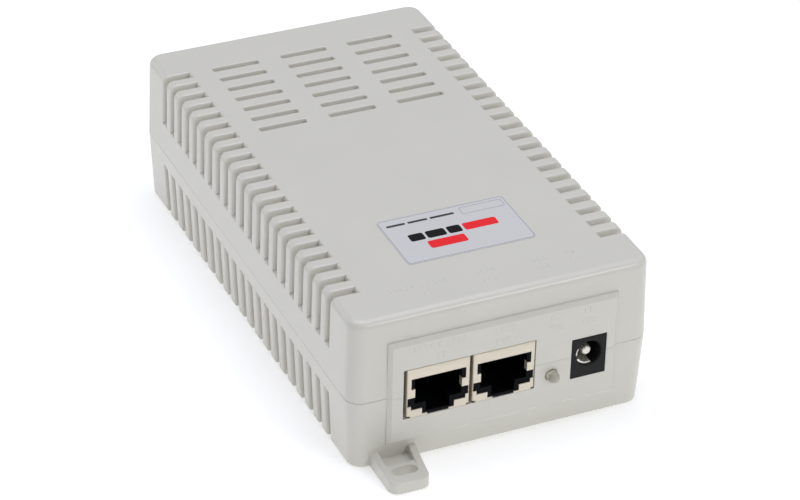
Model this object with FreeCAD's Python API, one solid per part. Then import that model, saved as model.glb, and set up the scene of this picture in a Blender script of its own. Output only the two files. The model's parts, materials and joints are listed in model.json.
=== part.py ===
"""Power-over-Ethernet splitter in a two-part plastic case, with its circuit board.

Millimetres.  X is to the right seen from the port side, the ports face -Y, Z is up.
The origin is the centre of the underside.
"""
import FreeCAD, Part
import math
import os

V = FreeCAD.Vector

# ---------------------------------------------------------------- case
CASE_W = 77.4            # width at the parting line
CASE_L = 136.5           # length of the case without its ears
CASE_H = 40.3
SPLIT_Z = 18.55          # height of the parting line
SPLIT_GAP = 0.06         # visible seam between the two shells
SPLIT_BEVEL = 0.08       # small bevel on both sides of the seam
WALL = 2.4
CORNER_R = 3.9           # vertical corners
EDGE_R = 2.0             # edges of the top face
UNDER_R = 0.6            # edges of the underside
COVER_DRAFT = 0.45       # how far each cover side leans in at the top
BASE_DRAFT_X = 1.0       # the same for the base, at the underside
BASE_DRAFT_Y = 0.3
LIP_T = 1.1              # thickness of the tongue that joins the shells
LIP_H = 1.8
FIT = 0.1                # clearance between moulded parts

# raised panel round the ports
PANEL_X = 29.5
PANEL_Z0 = 5.5
PANEL_Z1 = 33.6
PANEL_OUT = 1.0
PANEL_BEVEL = 0.9
PANEL_Y = -CASE_L / 2 - PANEL_OUT

# blind cooling grooves
GROOVE_COUNT = 21
GROOVE_PITCH = 5.36
GROOVE_FIRST_Y = 53.6
GROOVE_W = 2.05
GROOVE_DEPTH = 1.6
GROOVE_ROUND = 0.6       # the groove edges are rounded by this much
GROOVE_MARGIN = 2.0      # how far the groove cutters reach outside the case
VENT_ROUND = 0.35
GROOVE_INNER_X = 31.3    # where a groove starts on the top face
UPPER_GROOVE_END_Z = 27.0
LOWER_GROOVE_END_Z = 13.9
VENT_ROWS = 7
VENT_L = 12.45
VENT_W = 1.7
VENT_X = (-18.8, 0.0, 18.7)

# screw ears, one at the front left and one at the back right
EAR_X0 = -33.2
EAR_X1 = -21.8           # right-hand side at the wall of the case
EAR_TAPER = 1.4          # how much narrower the ear is at its outer edge
EAR_REACH = 12.1         # from the case front to the ear's outer edge
EAR_FLOOR = 1.55         # top of the tray between the webs
EAR_PAD = 2.9            # top of the pad that the screw head bears on
EAR_PAD_Y = -72.9        # where the tray ends and the pad starts
EAR_ROOT_Z = 4.0         # height of the side webs where they meet the case
EAR_WEB_T = 1.8
EAR_WEB_Y = -76.5        # outer end of the webs
EAR_CORNER_R = 2.6
EAR_RIM_R = 0.35
EAR_SLOT_L = 6.4
EAR_SLOT_W = 3.1
EAR_SLOT_X = -27.9
EAR_SLOT_Y = -75.8

# screws that close the case
BOSS_X = 31.4
BOSS_Y = 59.3
BOSS_R = 4.1
BOSS_TOP = 16.0
SCREW_SHANK_R = 1.45
SCREW_HEAD_R = 2.8
SCREW_HEAD_H = 2.2
SCREW_SEAT_Z = 5.5
SCREW_TIP_Z = 27.0

# ---------------------------------------------------------------- board
BOARD_TOP = 12.3
BOARD_T = 1.6
BOARD_X = 34.4
BOARD_Y0 = -65.0
BOARD_Y1 = 64.4
POST_X = 31.0
POST_Y = 28.0
POST_R = 2.9
LEAD_BELOW = 1.3         # how far a soldered lead stands below the board

# ---------------------------------------------------------------- ports
JACK_W = 16.0
JACK_H = 13.45
JACK_D = 18.2
JACK_X = (-16.9, -0.15)  # centres of the two network jacks
JACK_FACE_Y = PANEL_Y - 0.1
JACK_Z = BOARD_TOP + 0.05
SHIELD_T = 0.25
SHIELD_SIDE = 1.05       # metal left beside the plug window
WINDOW_TOP = 2.7         # cut-outs of the shield's face, measured down from the top of the jack
WINDOW_LOW = 11.4
STEP_LOW = 13.0          # narrower step below the window
STEP_W = 8.2
LATCH_NOTCH = 5.45       # width of the notch that is open at the bottom
SIDE_NOTCH_LOW = 10.35
SIDE_NOTCH_IN = 1.1      # from the jack's side to the inner end of a side notch
SIDE_NOTCH_OUT = 0.12
CORNER_NOTCH_W = 0.75
CORNER_NOTCH_H = 0.45
TAB_Z0 = 5.65            # grounding tabs, measured down from the top of the jack
TAB_Z1 = 7.95
SHIELD_FOLD_R = 0.45     # outer radius of the folds round the face
PORT_CLEAR_LEFT = 0.9    # gap between the port cut-out and the jacks, left
PORT_CLEAR = 0.15        # the same at the right, top and bottom
PLUG_W = 11.9            # room for a modular plug
PLUG_H = 6.9
PLUG_DEPTH = 13.5
PLUG_TOP_DOWN = 3.0      # from the top of the jack to the roof of the plug space
LATCH_W = 6.0
LATCH_H = 2.7
CONTACTS = 8
CONTACT_PITCH = 1.02
CONTACT_T = 0.35
CONTACT_REST_DEG = 17.5
CONTACT_LEN = 8.6
CONTACT_HINGE_DY = 3.3   # behind the jack face
CONTACT_HINGE_DZ = -2.6  # below the jack top

DC_X = 22.0
DC_W = 9.0
DC_H = 10.94
DC_D = 14.2
DC_FACE_Y = PANEL_Y - 0.1
DC_BORE_R = 3.25
DC_BORE_Z = BOARD_TOP + 6.35
DC_BORE_D = 10.0
DC_PIN_R = 1.25
DC_PIN_DEPTH = 1.1       # from the socket face to the nose of the pin
DC_NOSE_R = 0.6          # rounding of the nose
DC_TAIL_R = 0.73
DC_SWITCH_L = 8.0        # length of the switch contact from the socket face
DC_LEAF_IN = 0.5         # how far the spring leaf stands into the bore
DC_SWITCH_IN = 0.4       # the same for the switch contact
DC_SPRING_DEG = 247.0    # side of the bore where the spring leaf sits
DC_SPRING_HALF_DEG = 38.0
DC_SWITCH_DEG = 168.0    # side of the bore where the fixed switch contact sits
DC_SWITCH_HALF_DEG = 17.0

LED_X = 12.4
LED_Z = 14.9
LED_R = 1.5
LED_TIP_Y = PANEL_Y - 2.6
LED_BODY = 6.6           # from the tip to the flange

TOP_LABEL = (-16.0, 17.4, -49.05, -29.25)
LABEL_T = 0.12

drilled = []             # (x, y, radius) of every hole that a lead needs in the board


# ---------------------------------------------------------------- helpers
def box(x0, x1, y0, y1, z0, z1):
    """Axis-aligned block between the given limits."""
    return Part.makeBox(x1 - x0, y1 - y0, z1 - z0, V(x0, y0, z0))


def centred(x, y, w, l, z0, z1):
    """Block centred on x, y."""
    return box(x - w / 2, x + w / 2, y - l / 2, y + l / 2, z0, z1)


def rod(x, y, z0, z1, r):
    """Upright cylinder."""
    return Part.makeCylinder(r, z1 - z0, V(x, y, z0))


def rod_y(x, z, y0, y1, r):
    """Cylinder along Y."""
    return Part.makeCylinder(r, y1 - y0, V(x, y0, z), V(0, 1, 0))


def rod_x(y, z, x0, x1, r):
    """Cylinder along X."""
    return Part.makeCylinder(r, x1 - x0, V(x0, y, z), V(1, 0, 0))


def joined(shapes):
    """One solid made of touching shapes."""
    return shapes[0].fuse(shapes[1:]).removeSplitter()


def group(shapes):
    """Separate solids that share one node."""
    return Part.makeCompound(shapes)


def at(shape, x=0.0, y=0.0, z=0.0):
    """Moved copy."""
    moved = shape.copy()
    moved.translate(V(x, y, z))
    return moved


def turned(shape, deg, axis=(0, 0, 1), centre=(0, 0, 0)):
    """Rotated copy."""
    copy = shape.copy()
    copy.rotate(V(*centre), V(*axis), deg)
    return copy


def mirrored_x(shape):
    """Mirror image in the plane x = 0."""
    return shape.mirror(V(0, 0, 0), V(1, 0, 0))


def rounded_rect(half_w, half_l, r, z):
    """Closed wire of a rectangle with round corners at height z."""
    s = r * math.sqrt(0.5)
    edges = []
    corners = ((1, 1), (-1, 1), (-1, -1), (1, -1))
    for i, (sx, sy) in enumerate(corners):
        cx = sx * (half_w - r)
        cy = sy * (half_l - r)
        side = V(cx + sx * r, cy, z)
        end = V(cx, cy + sy * r, z)
        mid = V(cx + sx * s, cy + sy * s, z)
        first, last = (side, end) if sx * sy > 0 else (end, side)
        edges.append(Part.Arc(first, mid, last).toShape())
        nx, ny = corners[(i + 1) % 4]
        if sx != nx:
            after = V(nx * (half_w - r), ny * half_l, z)
        else:
            after = V(nx * half_w, ny * (half_l - r), z)
        edges.append(Part.makeLine(last, after))
    return Part.Wire(edges)


def tapered(sections):
    """Solid through round-cornered sections given as (half_w, half_l, r, z)."""
    return Part.makeLoft([rounded_rect(*s) for s in sections], True, True)


def plate(half_w, half_l, r, z0, z1):
    """Round-cornered plate centred on the origin."""
    return Part.Face(rounded_rect(half_w, half_l, r, z0)).extrude(V(0, 0, z1 - z0))


def profile_x(points, x0, x1):
    """Outline in the YZ plane, extruded along X."""
    wire = Part.makePolygon([V(x0, y, z) for y, z in points] + [V(x0, *points[0])])
    return Part.Face(wire).extrude(V(x1 - x0, 0, 0))


def profile_y(points, y0, y1):
    """Outline in the XZ plane, extruded along Y."""
    wire = Part.makePolygon([V(x, y0, z) for x, z in points] + [V(points[0][0], y0, points[0][1])])
    return Part.Face(wire).extrude(V(0, y1 - y0, 0))


def profile_z(points, z0, z1):
    """Outline in the XY plane, extruded along Z."""
    wire = Part.makePolygon([V(x, y, z0) for x, y in points] + [V(*points[0], z0)])
    return Part.Face(wire).extrude(V(0, 0, z1 - z0))


def bent_wire(points, t):
    """Square-section wire along a path of straight runs, with mitred-looking block joints."""
    parts = []
    h = t / 2
    for (x0, y0, z0), (x1, y1, z1) in zip(points, points[1:]):
        parts.append(box(min(x0, x1) - h, max(x0, x1) + h, min(y0, y1) - h, max(y0, y1) + h,
                         min(z0, z1) - h, max(z0, z1) + h))
    return joined(parts)


def edges_at(shape, z):
    """Edges that lie in the plane at height z."""
    box_of = [(e, e.BoundBox) for e in shape.Edges]
    return [e for e, b in box_of if abs(b.ZMin - z) < 1e-4 and abs(b.ZMax - z) < 1e-4]


def edges_along(shape, axis):
    """Straight edges parallel to X, Y or Z."""
    wanted = []
    for e in shape.Edges:
        b = e.BoundBox
        spans = {"x": b.XLength, "y": b.YLength, "z": b.ZLength}
        long = spans.pop(axis)
        if long > 1e-3 and max(spans.values()) < 1e-4:
            wanted.append(e)
    return wanted


# ---------------------------------------------------------------- case profile
def side_x(z):
    """Half width of the case at height z."""
    if z >= SPLIT_Z:
        return CASE_W / 2 - COVER_DRAFT * (z - SPLIT_Z) / (CASE_H - SPLIT_Z)
    return CASE_W / 2 - BASE_DRAFT_X * (SPLIT_Z - z) / SPLIT_Z


def end_y(z):
    """Half length of the case at height z."""
    if z >= SPLIT_Z:
        return CASE_L / 2 - COVER_DRAFT * (z - SPLIT_Z) / (CASE_H - SPLIT_Z)
    return CASE_L / 2 - BASE_DRAFT_Y * (SPLIT_Z - z) / SPLIT_Z


def section(z, inset=0.0):
    """Case outline at height z, moved inward by inset."""
    return (side_x(z) - inset, end_y(z) - inset, max(CORNER_R - inset, 0.8), z)


def rounding(r):
    """(offset, depth) points that stand for a rounded edge of radius r, from the surface inward."""
    near = r * (1 - math.sqrt(0.5))
    return [(r, -0.02), (near, near), (0.0, r)]


def cover_groove(y, depth, end):
    """Closed section of a cover groove in the plane at y.

    It runs over the top face, round the long edge and down the side.  end gives the (offset, depth)
    points of both its ends.
    """
    edge_z = CASE_H - EDGE_R
    centre_x = side_x(edge_z) - EDGE_R
    r = EDGE_R - depth
    s = r * math.sqrt(0.5)
    start = [V(GROOVE_INNER_X - off, y, CASE_H - d) for off, d in end]
    bend = V(centre_x, y, CASE_H - depth)
    mid = V(centre_x + s, y, edge_z + s)
    side = V(centre_x + r, y, edge_z)
    finish = [V(side_x(UPPER_GROOVE_END_Z) - d, y, UPPER_GROOVE_END_Z - off) for off, d in reversed(end)]
    out_x = CASE_W / 2 + GROOVE_MARGIN
    out_z = CASE_H + GROOVE_MARGIN
    outside = [V(out_x, y, finish[-1].z), V(out_x, y, out_z), V(start[0].x, y, out_z)]
    first = [outside[-1]] + start + [bend]
    last = [side] + finish + outside
    lines = [Part.makeLine(p, q) for p, q in zip(first, first[1:])]
    rest = [Part.makeLine(p, q) for p, q in zip(last, last[1:])]
    return Part.Wire(lines + [Part.Arc(bend, mid, side).toShape()] + rest)


def base_groove(y, depth, end):
    """Closed section of a base groove in the plane at y: closed at the top, open at the underside."""
    top = [(side_x(LOWER_GROOVE_END_Z) - d, LOWER_GROOVE_END_Z + off) for off, d in end]
    low_z = -GROOVE_MARGIN
    out_x = CASE_W / 2 + GROOVE_MARGIN
    points = [(out_x, top[0][1])] + top + [(side_x(low_z) - depth, low_z), (out_x, low_z)]
    return Part.makePolygon([V(x, y, z) for x, z in points + points[:1]])


def groove_cutter(outline):
    """Groove with rounded edges, on the right-hand side at y = 0."""
    w = GROOVE_W / 2
    steps = rounding(GROOVE_ROUND)
    floor = outline(-w, GROOVE_DEPTH, steps + [(0.0, GROOVE_DEPTH)])
    cutters = [Part.Face(floor).extrude(V(0, GROOVE_W, 0))]
    for side in (-1, 1):
        rims = [outline(side * (w + off), d, [(off, d)]) for off, d in steps]
        cutters.append(Part.makeLoft(rims, True, True))
    return cutters


def groove_cutters(outline):
    """All the side grooves of one shell."""
    right = groove_cutter(outline)
    both = right + [mirrored_x(c) for c in right]
    rows = [GROOVE_FIRST_Y - i * GROOVE_PITCH for i in range(GROOVE_COUNT)]
    return [at(c, y=y) for y in rows for c in both]


def vent_cutters():
    """Blind slots in three columns on the top face."""
    corner_r = 0.5
    slot = plate(VENT_L / 2, VENT_W / 2, corner_r, CASE_H - GROOVE_DEPTH, CASE_H + 1)
    flare = tapered([(VENT_L / 2 + off, VENT_W / 2 + off, corner_r + off, CASE_H - d)
                     for off, d in reversed(rounding(VENT_ROUND))])
    rows = [GROOVE_FIRST_Y - i * GROOVE_PITCH for i in range(VENT_ROWS)]
    return [at(c, x=x, y=y) for x in VENT_X for y in rows for c in (slot, flare)]


def port_cutters():
    """Prisms that open the front wall for the jacks, the power socket and the lamp."""
    y0 = PANEL_Y - 2
    y1 = -end_y(SPLIT_Z) + WALL + 2.5
    jacks = box(JACK_X[0] - JACK_W / 2 - PORT_CLEAR_LEFT, JACK_X[1] + JACK_W / 2 + PORT_CLEAR, y0, y1,
                JACK_Z - PORT_CLEAR, JACK_Z + JACK_H + PORT_CLEAR)
    side = DC_W / 2 + FIT
    socket = box(DC_X - side, DC_X + side, y0, y1, JACK_Z - FIT, JACK_Z + DC_H + FIT)
    lamp = rod_y(LED_X, LED_Z, y0, y1, LED_R + 0.15)
    return [jacks, socket, lamp]


def raised_panel():
    """Bevelled block in front of the front wall, up to the port panel's plane."""
    back = -end_y(SPLIT_Z) + 1.0

    def rim(y, grow):
        corners = [(-PANEL_X - grow, PANEL_Z0 - grow), (PANEL_X + grow, PANEL_Z0 - grow),
                   (PANEL_X + grow, PANEL_Z1 + grow), (-PANEL_X - grow, PANEL_Z1 + grow)]
        return Part.makePolygon([V(x, y, z) for x, z in corners + corners[:1]])

    front = Part.makeLoft([rim(PANEL_Y, -PANEL_BEVEL), rim(PANEL_Y + PANEL_BEVEL, 0.0)], True, True)
    body = Part.makeLoft([rim(PANEL_Y + PANEL_BEVEL, 0.0), rim(back, 0.0)], True, True)
    return joined([front, body])


# ---------------------------------------------------------------- cover
def cover_boss(x, y):
    """Pillar that a case screw bites into, hanging from the roof."""
    pillar = rod(x, y, BOSS_TOP + FIT, CASE_H - WALL + 0.1, BOSS_R - 0.5)
    return pillar, rod(x, y, BOSS_TOP - 1, SCREW_TIP_Z + 1.5, SCREW_SHANK_R)


def top_cover():
    """Upper shell with its grooves, vents, screw pillars and half of each port."""
    z0 = SPLIT_Z + SPLIT_GAP / 2
    bevel = SPLIT_BEVEL
    outer = tapered([section(z0, bevel), section(z0 + bevel), section(CASE_H)])
    outer = outer.makeFillet(EDGE_R, edges_at(outer, CASE_H))
    panel = raised_panel().common(box(-60, 60, -90, 0, z0, 60))
    roof = CASE_H - WALL
    hollow = tapered([section(z0 - 0.01, WALL), section(roof, WALL)])
    rabbet = tapered([section(z0 - 0.01, WALL - LIP_T - FIT), section(z0 + LIP_H + FIT, WALL - LIP_T - FIT)])
    shell = outer.fuse(panel).cut([hollow, rabbet])
    pillars = []
    pilots = []
    for x in (-BOSS_X, BOSS_X):
        for y in (-BOSS_Y, BOSS_Y):
            pillar, pilot = cover_boss(x, y)
            pillars.append(pillar)
            pilots.append(pilot)
    ribs = [box(x - 0.6, x + 0.6, -end_y(30) + WALL - 0.2, end_y(30) - WALL + 0.2, roof - 1.6, roof + 0.1)
            for x in (-9.4, 9.4)]
    shell = shell.fuse(pillars + ribs)
    cutters = pilots + port_cutters() + groove_cutters(cover_groove) + vent_cutters()
    return shell.cut(cutters).removeSplitter()


# ---------------------------------------------------------------- base
def ear():
    """Front left screw ear, narrower outward: a slotted pad, and a tray between two sloping webs."""
    y_wall = -end_y(0) + 1.0
    y_out = -CASE_L / 2 - EAR_REACH
    slant = EAR_TAPER / (y_wall - y_out)
    pad = profile_z([(EAR_X0, y_out), (EAR_X1 - EAR_TAPER, y_out), (EAR_X1, y_wall), (EAR_X0, y_wall)],
                    0, EAR_PAD)
    corners = [e for e in edges_along(pad, "z") if e.BoundBox.YMax < y_out + 0.1]
    pad = pad.makeFillet(EAR_CORNER_R, corners)
    rim = [e for e in edges_at(pad, EAR_PAD) if e.BoundBox.YMin < y_wall - 0.1]
    pad = pad.makeFillet(EAR_RIM_R, rim)
    slope = [(y_wall, 0.0), (EAR_WEB_Y, 0.0), (EAR_WEB_Y, EAR_PAD), (y_wall, EAR_ROOT_Z)]
    web = profile_x(slope, 0.0, EAR_WEB_T)
    top = [e for e in web.Edges if e.BoundBox.XLength < 0.01 and e.BoundBox.ZMin > EAR_PAD - 0.01]
    web = web.makeFillet(EAR_RIM_R, top)
    right_web = turned(at(web, x=EAR_X1 - EAR_WEB_T), -math.degrees(math.atan(slant)),
                       centre=(EAR_X1, y_wall, 0))
    webs = [at(web, x=EAR_X0), right_web]
    y_back = -end_y(2) + 0.05
    right = EAR_X1 - EAR_WEB_T
    tray = profile_z([(EAR_X0 + EAR_WEB_T, EAR_PAD_Y), (right - slant * (y_wall - EAR_PAD_Y), EAR_PAD_Y),
                      (right - slant * (y_wall - y_back), y_back), (EAR_X0 + EAR_WEB_T, y_back)],
                     EAR_FLOOR, EAR_FLOOR + 9)
    tray = tray.makeFillet(0.5, edges_along(tray, "z"))
    half = (EAR_SLOT_L - EAR_SLOT_W) / 2
    slot_r = EAR_SLOT_W / 2
    slot = joined([rod(EAR_SLOT_X - half, EAR_SLOT_Y, -1, 9, slot_r),
                   rod(EAR_SLOT_X + half, EAR_SLOT_Y, -1, 9, slot_r),
                   box(EAR_SLOT_X - half, EAR_SLOT_X + half, EAR_SLOT_Y - slot_r,
                       EAR_SLOT_Y + slot_r, -1, 9)])
    return pad.fuse(webs).cut(tray).removeSplitter(), slot


def base_boss(x, y):
    """Pillar that a case screw passes through, with its counterbore."""
    pillar = rod(x, y, 1.0, BOSS_TOP, BOSS_R)
    bore = rod(x, y, -1, 30, SCREW_SHANK_R + 0.2)
    seat = rod(x, y, -1, SCREW_SEAT_Z, SCREW_HEAD_R + 0.3)
    return pillar, [bore, seat]


def base_shell():
    """Lower shell with board posts, screw pillars, joining lip and the two ears."""
    z1 = SPLIT_Z - SPLIT_GAP / 2
    bevel = SPLIT_BEVEL
    outer = tapered([section(0.0), section(z1 - bevel), section(z1, bevel)])
    outer = outer.makeFillet(UNDER_R, edges_at(outer, 0.0))
    panel = raised_panel().common(box(-60, 60, -90, 0, -5, z1))
    front_ear, slot = ear()
    ears = [front_ear, turned(front_ear, 180)]
    slots = [slot, turned(slot, 180)]
    hollow = tapered([section(WALL, WALL), section(z1 + 0.01, WALL)])
    shell = outer.fuse([panel] + ears).cut(hollow)
    lip_outer = tapered([section(z1 - 1.0, WALL - LIP_T), section(z1 + LIP_H, WALL - LIP_T)])
    lip_inner = tapered([section(z1 - 1.5, WALL), section(z1 + LIP_H + 0.5, WALL)])
    added = [lip_outer.cut(lip_inner)]
    cutters = slots + port_cutters() + groove_cutters(base_groove)
    for x in (-BOSS_X, BOSS_X):
        for y in (-BOSS_Y, BOSS_Y):
            pillar, holes = base_boss(x, y)
            added.append(pillar)
            cutters += holes
    for x in (-POST_X, POST_X):
        for y in (-POST_Y, POST_Y):
            added.append(rod(x, y, 1.0, BOARD_TOP - BOARD_T - 0.02, POST_R))
            cutters.append(rod(x, y, 4.0, 30, 1.0))
    cutters.append(box(-25, 25, -22, 22, -1, LABEL_T + 0.1))
    return shell.fuse(added).cut(cutters).removeSplitter()


def pan_screw(x, y, head_z, head_h, head_r, shank_r, tip_z, up):
    """Screw with a cross recess, its head on the side away from up."""
    head = rod(x, y, min(head_z, head_z - up * head_h), max(head_z, head_z - up * head_h), head_r)
    shank = rod(x, y, min(head_z, tip_z), max(head_z, tip_z), shank_r)
    outer_z = head_z - up * head_h
    lo, hi = sorted((outer_z - up, outer_z + up * head_h * 0.6))
    cross = joined([centred(x, y, head_r * 1.3, head_r * 0.3, lo, hi),
                    centred(x, y, head_r * 0.3, head_r * 1.3, lo, hi)])
    return joined([head, shank]).cut(cross)


def case_screws():
    """Four self-tapping screws, put in from underneath."""
    return group([pan_screw(x, y, SCREW_SEAT_Z, SCREW_HEAD_H, SCREW_HEAD_R, SCREW_SHANK_R - 0.02,
                            SCREW_TIP_Z, 1)
                  for x in (-BOSS_X, BOSS_X) for y in (-BOSS_Y, BOSS_Y)])


def board_screws():
    """Four small screws that hold the board on its posts."""
    return group([pan_screw(x, y, BOARD_TOP + 0.01, 1.4, 2.1, 0.98, 5.0, -1)
                  for x in (-POST_X, POST_X) for y in (-POST_Y, POST_Y)])


def top_label():
    """Thin rounded label on the top face."""
    x0, x1, y0, y1 = TOP_LABEL
    flat = plate((x1 - x0) / 2, (y1 - y0) / 2, 1.2, CASE_H, CASE_H + LABEL_T)
    return at(flat, (x0 + x1) / 2, (y0 + y1) / 2, 0.005)


def rating_label():
    """Thin label in a shallow recess in the underside."""
    return plate(24.6, 21.6, 1.2, 0.08, 0.08 + LABEL_T)


# ---------------------------------------------------------------- network jacks
def jack_shield(xc):
    """Folded metal can: a box open at the bottom, with a cut-out face and grounding tabs."""
    x0 = xc - JACK_W / 2
    x1 = xc + JACK_W / 2
    y0 = JACK_FACE_Y
    y1 = y0 + JACK_D
    z0 = JACK_Z
    z1 = z0 + JACK_H
    t = SHIELD_T
    block = box(x0, x1, y0, y1, z0, z1)
    front = [e for e in block.Edges if e.BoundBox.YMax < y0 + 0.01 and e.BoundBox.ZMax > z0 + 0.01]
    block = block.makeFillet(SHIELD_FOLD_R, front)
    can = block.cut(box(x0 + t, x1 - t, y0 + t, y1 - t, z0 - 1, z1 - t))
    cuts = [box(x0 + SHIELD_SIDE, x1 - SHIELD_SIDE, y0 - 1, y0 + t + 0.01,
                z1 - WINDOW_LOW, z1 - WINDOW_TOP),
            centred(xc, y0, STEP_W, 2 * t + 0.02, z1 - STEP_LOW, z1 - TAB_Z0),
            centred(xc, y0, LATCH_NOTCH, 2 * t + 0.02, z0 - 1, z1 - TAB_Z0)]
    for side in (-1, 1):
        edge = xc + side * JACK_W / 2
        inner = edge - side * SIDE_NOTCH_IN
        outer = edge - side * SIDE_NOTCH_OUT
        cuts.append(box(min(outer, inner), max(outer, inner), y0 - 1, y0 + t + 0.01,
                        z1 - SIDE_NOTCH_LOW, z1 - TAB_Z1))
        corner = edge - side * CORNER_NOTCH_W
        cuts.append(box(min(edge, corner) - 0.1, max(edge, corner) + 0.1, y0 - 1, y0 + 0.9,
                        z0 - 1, z0 + CORNER_NOTCH_H))
    can = can.cut(cuts)
    tabs = []
    for side in (-1, 1):
        edge = xc + side * (JACK_W / 2 - SHIELD_SIDE)
        tip = edge - side * 1.0
        flat = box(min(edge, tip), max(edge, tip), y0, y0 + t, z1 - TAB_Z1, z1 - TAB_Z0)
        fold = box(min(tip, tip + side * t), max(tip, tip + side * t), y0, y0 + 1.5,
                   z1 - TAB_Z1, z1 - TAB_Z0)
        tabs += [flat, fold]
        peg = edge + side * (SHIELD_SIDE - t / 2)
        tabs.append(centred(peg, y0 + 9.0, t, 1.6, z0 - BOARD_T - LEAD_BELOW, z0 + 0.5))
        drilled.append((peg, y0 + 9.0, 0.95))
    return can.fuse(tabs).removeSplitter()


def jack_housing(xc):
    """Black insert with the plug space, the latch channel and the contact pocket."""
    t = SHIELD_T + 0.02
    y0 = JACK_FACE_Y + SHIELD_T + 0.02
    y1 = JACK_FACE_Y + JACK_D - t
    z0 = JACK_Z + 0.02
    z1 = JACK_Z + JACK_H - t
    roof = JACK_Z + JACK_H - PLUG_TOP_DOWN
    floor = roof - PLUG_H
    solid = box(xc - JACK_W / 2 + t, xc + JACK_W / 2 - t, y0, y1, z0, z1)
    plug = box(xc - PLUG_W / 2, xc + PLUG_W / 2, y0 - 1, y0 + PLUG_DEPTH, floor, roof)
    latch = box(xc - LATCH_W / 2, xc + LATCH_W / 2, y0 - 1, y0 + PLUG_DEPTH, floor - LATCH_H, floor + 1)
    pocket = box(xc - 4.35, xc + 4.35, y0 + 1.6, y0 + 12.2, roof - 1, roof + 2.3)
    cuts = [plug, latch, pocket]
    for side in (-1, 1):
        wall = xc + side * PLUG_W / 2
        tab = wall + side * 0.75
        cuts.append(box(min(wall, tab) - 0.05, max(wall, tab) + 0.05, y0 - 1, y0 + 6.0,
                        JACK_Z + JACK_H - TAB_Z1 - 0.3, JACK_Z + JACK_H - TAB_Z0 + 0.3))
        cuts.append(centred(xc + side * (JACK_W / 2 - 0.2), JACK_FACE_Y + 9.0, 0.7, 1.9, z0 - 1, z0 + 1))
    h = CONTACT_T / 2 + 0.1
    for i, x in enumerate(contact_xs(xc)):
        back = pin_row_y(i)
        cuts.append(box(x - h, x + h, y0 + 12.0, back + h, roof + 1.2, roof + 1.9))
        cuts.append(box(x - h, x + h, back - h, back + h, z0 - 1, roof + 1.9))
    solid = solid.cut(cuts)
    pegs = [rod(xc + s * 5.7, y0 + 10.5, z0 - BOARD_T - 0.8, z0 + 0.1, 1.5) for s in (-1, 1)]
    for s in (-1, 1):
        drilled.append((xc + s * 5.7, y0 + 10.5, 1.6))
    return solid.fuse(pegs).removeSplitter()


def contact_xs(xc):
    """Contact positions across one jack."""
    first = xc - CONTACT_PITCH * (CONTACTS - 1) / 2
    return [first + i * CONTACT_PITCH for i in range(CONTACTS)]


def pin_row_y(i):
    """Contact wires go down in two staggered rows."""
    return JACK_FACE_Y + JACK_D - (1.25 if i % 2 else 3.79)


def jack_pins(xc):
    """Fixed half of each contact wire: hook at the front, run along the roof, pin at the back."""
    roof = JACK_Z + JACK_H - PLUG_TOP_DOWN
    run_z = roof + 1.55
    hinge_y = JACK_FACE_Y + CONTACT_HINGE_DY
    hinge_z = JACK_Z + JACK_H + CONTACT_HINGE_DZ
    wires = []
    for i, x in enumerate(contact_xs(xc)):
        back = pin_row_y(i)
        front = hinge_y - 0.6
        path = [(x, front, hinge_z), (x, front, run_z), (x, back, run_z),
                (x, back, BOARD_TOP - BOARD_T - LEAD_BELOW)]
        wires.append(bent_wire(path, CONTACT_T))
        drilled.append((x, back, 0.4))
    return group(wires)


def jack_contacts(xc):
    """Sprung half of each contact wire, sloping down into the plug space."""
    y = JACK_FACE_Y + CONTACT_HINGE_DY
    z = JACK_Z + JACK_H + CONTACT_HINGE_DZ
    h = CONTACT_T / 2
    wires = []
    for x in contact_xs(xc):
        arm = box(x - h, x + h, y, y + CONTACT_LEN, z - h, z + h)
        knuckle = rod_x(y, z, x - h, x + h, h)
        tip = rod_x(y + CONTACT_LEN, z, x - h, x + h, h)
        wires.append(turned(joined([arm, knuckle, tip]), -CONTACT_REST_DEG, (1, 0, 0), (x, y, z)))
    return group(wires)


# ---------------------------------------------------------------- power socket
def dc_body():
    """Moulded socket block with a round bore and recesses for its contacts."""
    x0 = DC_X - DC_W / 2
    x1 = DC_X + DC_W / 2
    z0 = JACK_Z
    y0 = DC_FACE_Y
    front = box(x0, x1, y0, y0 + 3.6, z0, z0 + DC_H)
    barrel = joined([rod_y(DC_X, DC_BORE_Z, y0 + 3.5, y0 + DC_D, DC_W / 2),
                     box(x0, x1, y0 + 3.5, y0 + DC_D, z0, DC_BORE_Z)])
    bore = rod_y(DC_X, DC_BORE_Z, y0 - 1, y0 + DC_BORE_D, DC_BORE_R)
    mouth = Part.makeCone(DC_BORE_R + 0.3, DC_BORE_R, 0.3, V(DC_X, y0, DC_BORE_Z), V(0, 1, 0))
    leaf = bore_sector(DC_BORE_R - 0.5, DC_BORE_R + 0.75, DC_SPRING_DEG, DC_SPRING_HALF_DEG + 5,
                       y0 + 0.45, y0 + DC_BORE_D + 1.2)
    switch = bore_sector(DC_BORE_R - 0.5, DC_BORE_R + 0.22, DC_SWITCH_DEG, DC_SWITCH_HALF_DEG + 1,
                         y0 + 0.45, y0 + DC_SWITCH_L + 0.6)
    back = rod_y(DC_X, DC_BORE_Z, y0 + DC_BORE_D - 1, y0 + DC_D + 1, DC_TAIL_R + 0.02)
    slot = box(DC_X - 1.6, DC_X + 1.6, y0 + 9.4, y0 + 10.8, z0 - 1, DC_BORE_Z - 2.0)
    rear = box(DC_X - 1.6, DC_X + 1.6, y0 + DC_D - 0.9, y0 + DC_D + 1, z0 - 1, DC_BORE_Z + 1.5)
    cuts = [bore, mouth, leaf, switch, back, slot, rear]
    return joined([front, barrel]).cut(cuts).removeSplitter()


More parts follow.
